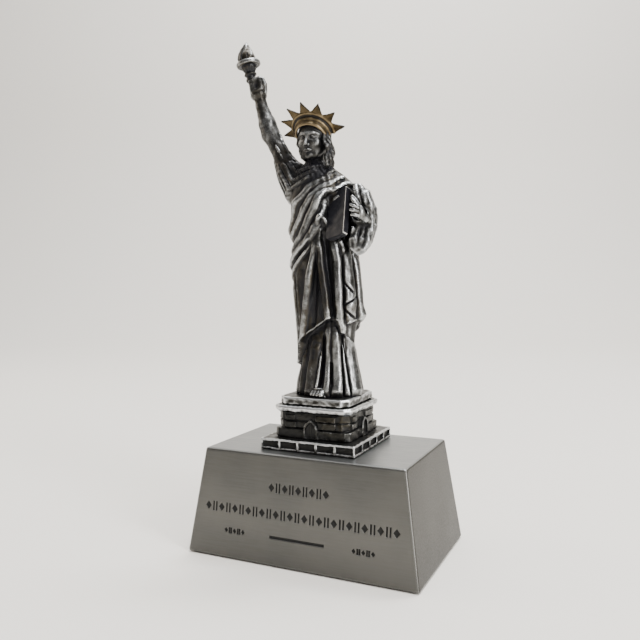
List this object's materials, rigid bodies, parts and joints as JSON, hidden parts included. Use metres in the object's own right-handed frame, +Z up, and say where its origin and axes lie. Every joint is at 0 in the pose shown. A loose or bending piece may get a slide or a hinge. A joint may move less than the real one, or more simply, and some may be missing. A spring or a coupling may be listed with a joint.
{
  "type": "miniature landmark statue on a base",
  "caption": "Souvenir statue: a robed figure with rayed crown, torch and tablet on a stepped masonry pedestal and a brushed frustum base.",
  "frame": {"origin": "middle of the footprint, on the plane the felt pad rests on", "axes": "+Z up; the marked face of the base and the figure's front look along -Y; the raised arm is on the -X side"},
  "size_m": [0.1178, 0.0742, 0.2536],
  "materials": {
    "satin_alloy": "grey alloy casting with a fine brushed satin surface and bright rubbed edges",
    "aged_silver": "silver-plated casting, blackened in the hollows and rubbed bright on the high folds",
    "bronze": "dark antique bronze wash, rubbed on the rims",
    "zinc_steel": "zinc-plated steel fasteners and plate",
    "green_felt": "dark green pressed felt"
  },
  "bodies": {
    "root": {"base_shell": "satin_alloy", "bottom_plate": "zinc_steel", "bottom_screw_1": "zinc_steel", "bottom_screw_2": "zinc_steel", "bottom_screw_3": "zinc_steel", "bottom_screw_4": "zinc_steel", "crown": "bronze", "felt_pad": "green_felt", "flat_washer": "zinc_steel", "head": "aged_silver", "left_arm": "aged_silver", "locating_pin_left": "zinc_steel", "locating_pin_right": "zinc_steel", "pedestal_block": "aged_silver", "pedestal_cap": "aged_silver", "pedestal_cornice": "aged_silver", "raised_arm": "aged_silver", "robed_body": "aged_silver", "spring_washer": "zinc_steel", "tablet": "aged_silver", "terrace_slab": "aged_silver", "tie_nut": "zinc_steel", "tie_rod": "zinc_steel", "torch_body": "aged_silver", "torch_flame": "aged_silver"}
  },
  "joints": []
}
